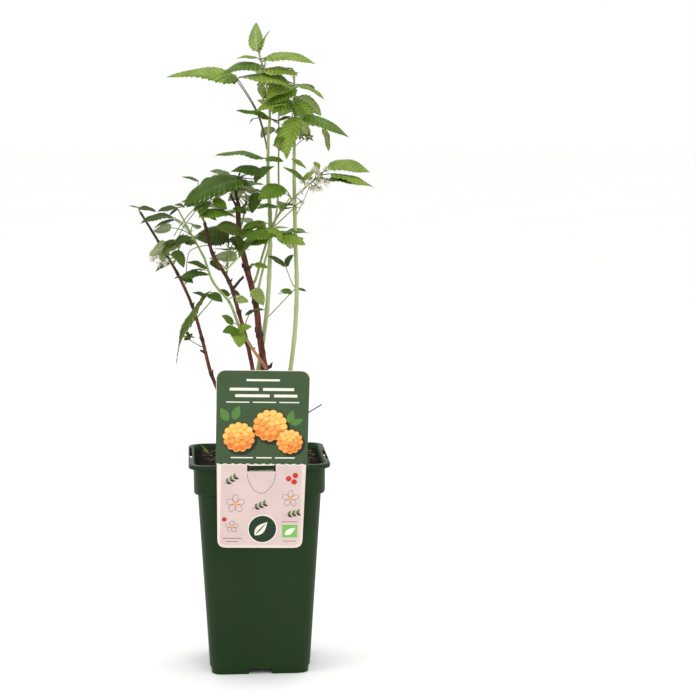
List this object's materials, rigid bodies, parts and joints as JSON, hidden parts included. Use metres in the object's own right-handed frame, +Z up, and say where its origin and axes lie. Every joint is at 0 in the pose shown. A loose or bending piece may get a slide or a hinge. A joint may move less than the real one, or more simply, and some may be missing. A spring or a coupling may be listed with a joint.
{
  "type": "potted raspberry cane",
  "caption": "Young raspberry plant with brown and green leafy canes in a square nursery pot, with a hanging plant label.",
  "frame": {"origin": "centre of the pot's underside, at the flat end of the small boss there, level with the pot's feet", "axes": "+Z up, +X to the right of someone facing the label, the label hangs on the -Y side"},
  "size_m": [0.225, 0.157, 0.6014],
  "materials": {
    "pot_plastic": "satin dark green",
    "compost": "rough, moist, fibrous",
    "label_card": "satin printed sheet",
    "brown_bark": "matt, prickly",
    "young_bark": "satin",
    "green_bark": "satin, finely prickly",
    "foliage": "matt, veined"
  },
  "bodies": {
    "root": {"pot": "pot_plastic", "soil": "compost", "label": "label_card", "cane_left": "brown_bark", "cane_middle_left": "brown_bark", "cane_middle": "brown_bark", "cane_crossing": "young_bark", "cane_tall": "green_bark", "cane_right": "green_bark", "stem_back": "green_bark", "leaves_tall_top": "foliage", "leaves_right_top": "foliage", "leaves_back_top": "foliage", "leaves_middle_crown": "foliage", "leaves_flowering": "foliage", "leaf_pale": "foliage", "leaves_middle_left_low": "foliage", "leaves_middle_left": "foliage", "leaves_middle_left_top": "foliage", "leaves_crossing_top": "foliage", "leaves_left_tip": "foliage", "leaves_left_rosette": "foliage", "leaves_left_middle": "foliage", "leaf_drooping": "foliage", "leaves_left_low": "foliage", "leaves_crossing_low": "foliage", "leaf_crossing_small": "foliage", "leaves_middle_left_small": "foliage", "leaves_right_middle": "foliage", "leaves_tall_low": "foliage", "leaves_back_middle": "foliage", "leaves_back_right": "foliage"}
  },
  "joints": []
}
